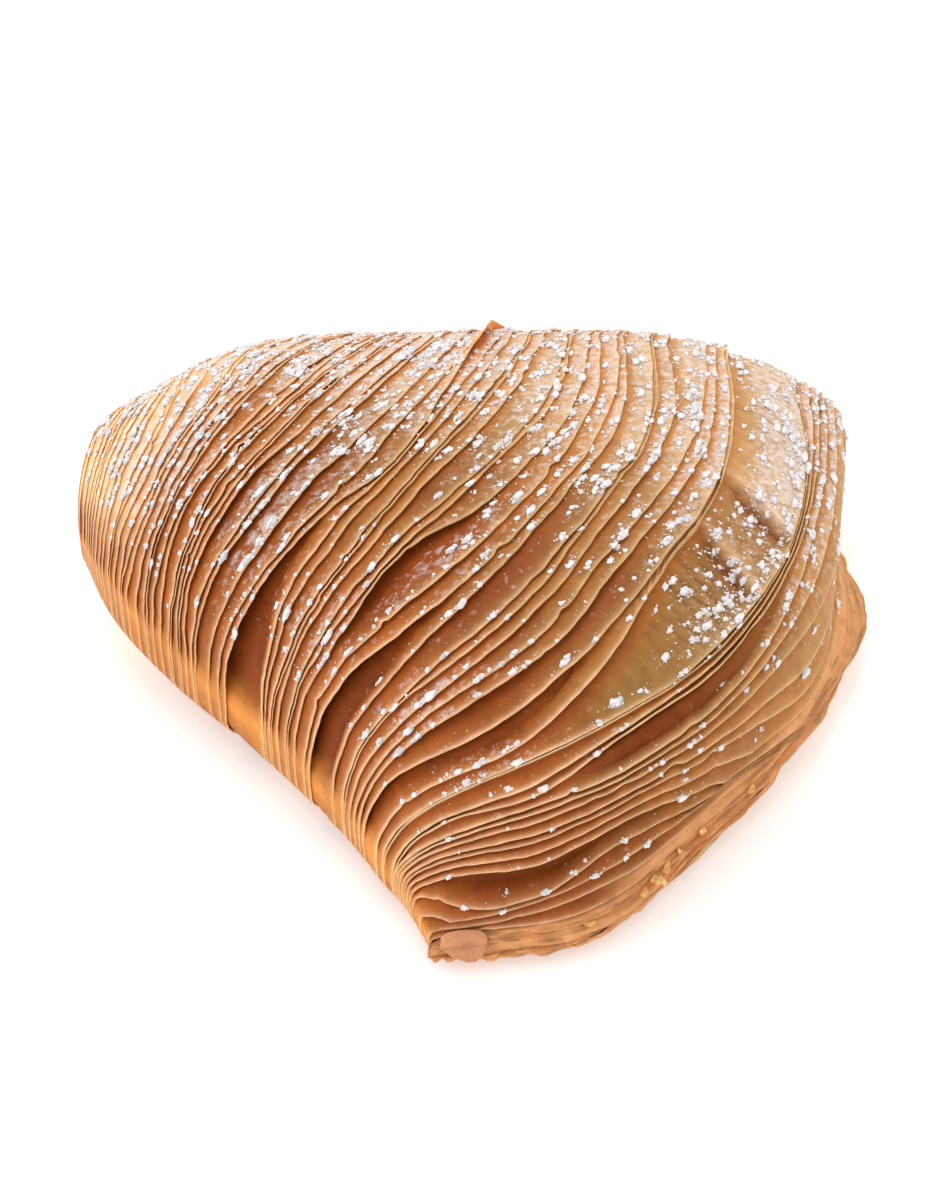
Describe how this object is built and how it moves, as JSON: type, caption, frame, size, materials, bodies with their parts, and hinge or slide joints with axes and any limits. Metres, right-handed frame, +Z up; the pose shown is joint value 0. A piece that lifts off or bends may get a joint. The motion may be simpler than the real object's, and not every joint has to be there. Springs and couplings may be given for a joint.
{
  "type": "sfogliatella",
  "caption": "Shell-shaped pastry of thin crisp leaves fanned from a pinched flank to a closed mouth, flat underneath, dusted with sugar.",
  "frame": {"origin": "bottom centre of the bounding box, on the plane the pastry rests on", "axes": "+Z up, -Y towards the pinched tip and the near end of the mouth, +X towards the mouth, -X towards the small closed lobe"},
  "size_m": [0.1184, 0.1076, 0.0412],
  "materials": {
    "baked_crust": "matt golden-brown baked leaf pastry, paler on the free edges and darker in the grooves",
    "icing_sugar": "matt white powdered sugar in small clumps"
  },
  "bodies": {
    "root": {"pastry": "baked_crust"}
  },
  "joints": []
}
